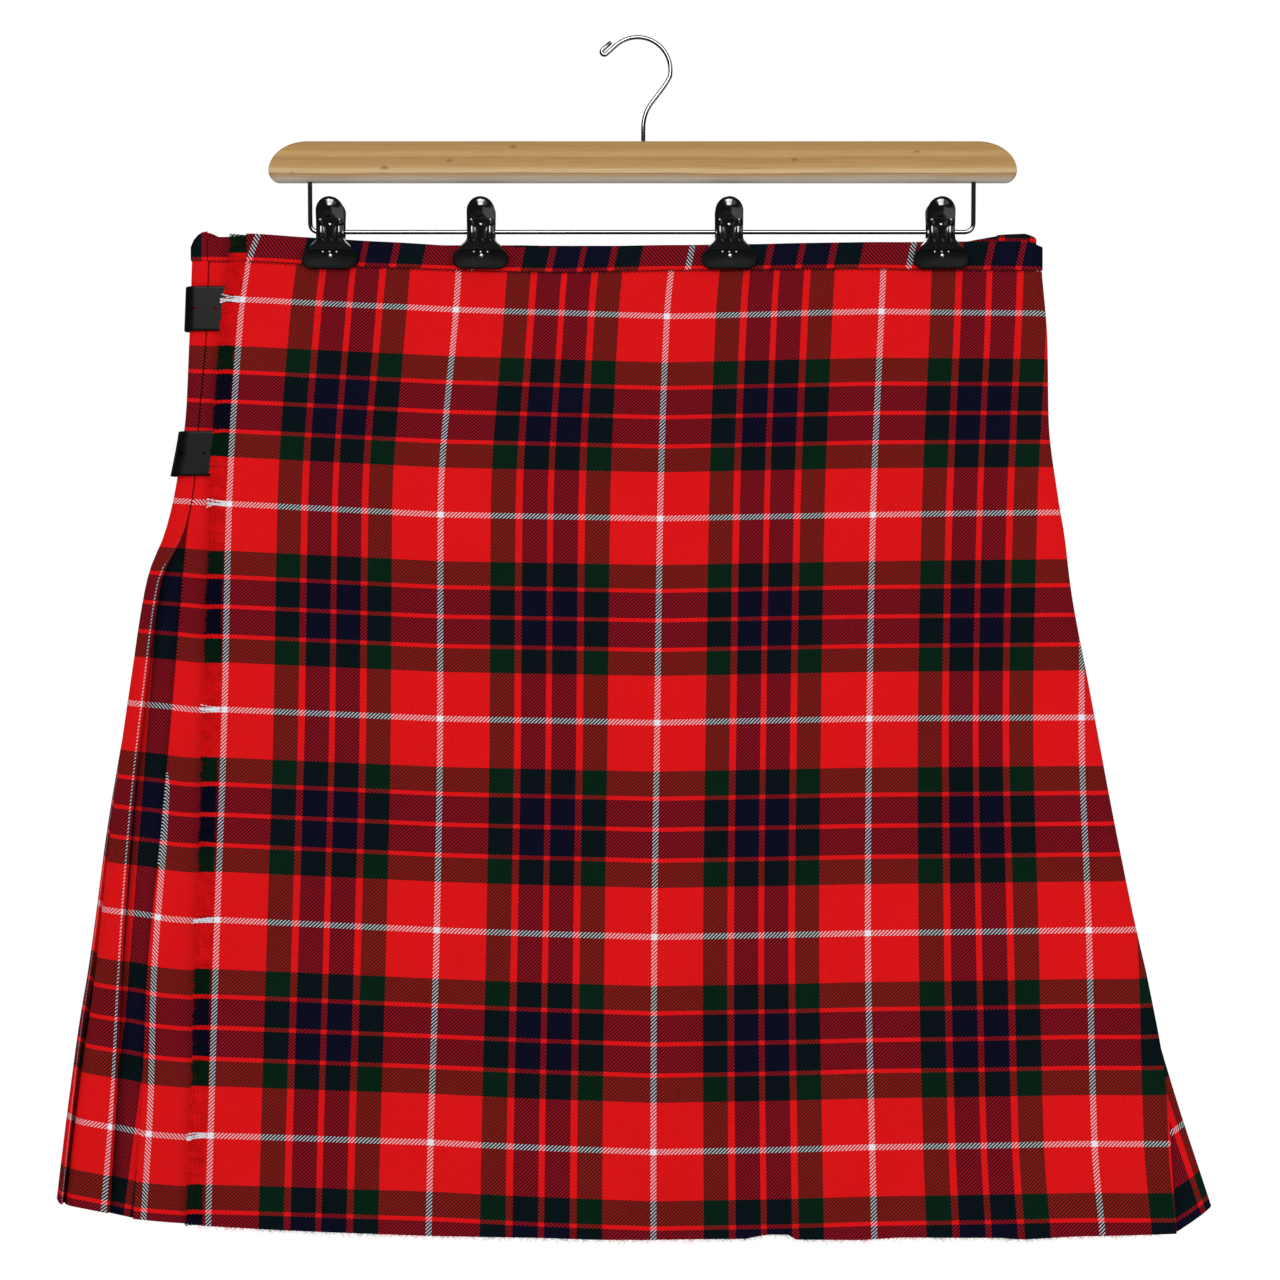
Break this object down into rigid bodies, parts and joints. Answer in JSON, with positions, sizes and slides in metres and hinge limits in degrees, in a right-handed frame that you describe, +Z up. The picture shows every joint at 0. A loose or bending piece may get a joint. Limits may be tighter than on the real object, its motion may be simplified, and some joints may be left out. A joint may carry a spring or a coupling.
{
  "type": "scottish kilt on hanger",
  "caption": "Knee-length pleated tartan wrap skirt with fringed front apron and buckled leather side straps, clipped by the waist to a wooden trouser hanger.",
  "frame": {"origin": "the highest point inside the hanger's hook, where it rests on a rail", "axes": "+Z up, +X to the viewer's right when the apron faces the viewer, -Y towards the viewer in front of the apron"},
  "size_m": [0.7063, 0.0516, 0.736],
  "materials": {
    "tartan_wool": "2/2 twill worsted, red with navy and green blocks and white lines",
    "black_leather": "smooth satin black",
    "buckle_metal": "polished",
    "bamboo": "satin varnish, streaks along the bar",
    "bright_wire": "polished wire",
    "clip_pad": "matt black",
    "black_chrome": "very glossy black plating"
  },
  "bodies": {
    "root": {"apron_fringe": "tartan_wool", "buckle_lower": "buckle_metal", "buckle_upper": "buckle_metal", "clip_1_front_jaw": "black_chrome", "clip_1_front_pad": "clip_pad", "clip_1_rear_jaw": "black_chrome", "clip_1_rear_pad": "clip_pad", "clip_1_spring": "black_chrome", "clip_2_front_jaw": "black_chrome", "clip_2_front_pad": "clip_pad", "clip_2_rear_jaw": "black_chrome", "clip_2_rear_pad": "clip_pad", "clip_2_spring": "black_chrome", "clip_3_front_jaw": "black_chrome", "clip_3_front_pad": "clip_pad", "clip_3_rear_jaw": "black_chrome", "clip_3_rear_pad": "clip_pad", "clip_3_spring": "black_chrome", "clip_4_front_jaw": "black_chrome", "clip_4_front_pad": "clip_pad", "clip_4_rear_jaw": "black_chrome", "clip_4_rear_pad": "clip_pad", "clip_4_spring": "black_chrome", "hanger_bar": "bamboo", "hanger_hook": "bright_wire", "hanger_rod": "bright_wire", "keeper_lower": "black_leather", "keeper_upper": "black_leather", "over_apron": "tartan_wool", "pleated_back": "tartan_wool", "prong_lower": "buckle_metal", "prong_upper": "buckle_metal", "strap_lower": "black_leather", "strap_upper": "black_leather", "tab_lower": "black_leather", "tab_upper": "black_leather", "under_apron": "tartan_wool", "waistband_back": "tartan_wool", "waistband_over": "tartan_wool", "waistband_under": "tartan_wool"}
  },
  "joints": []
}
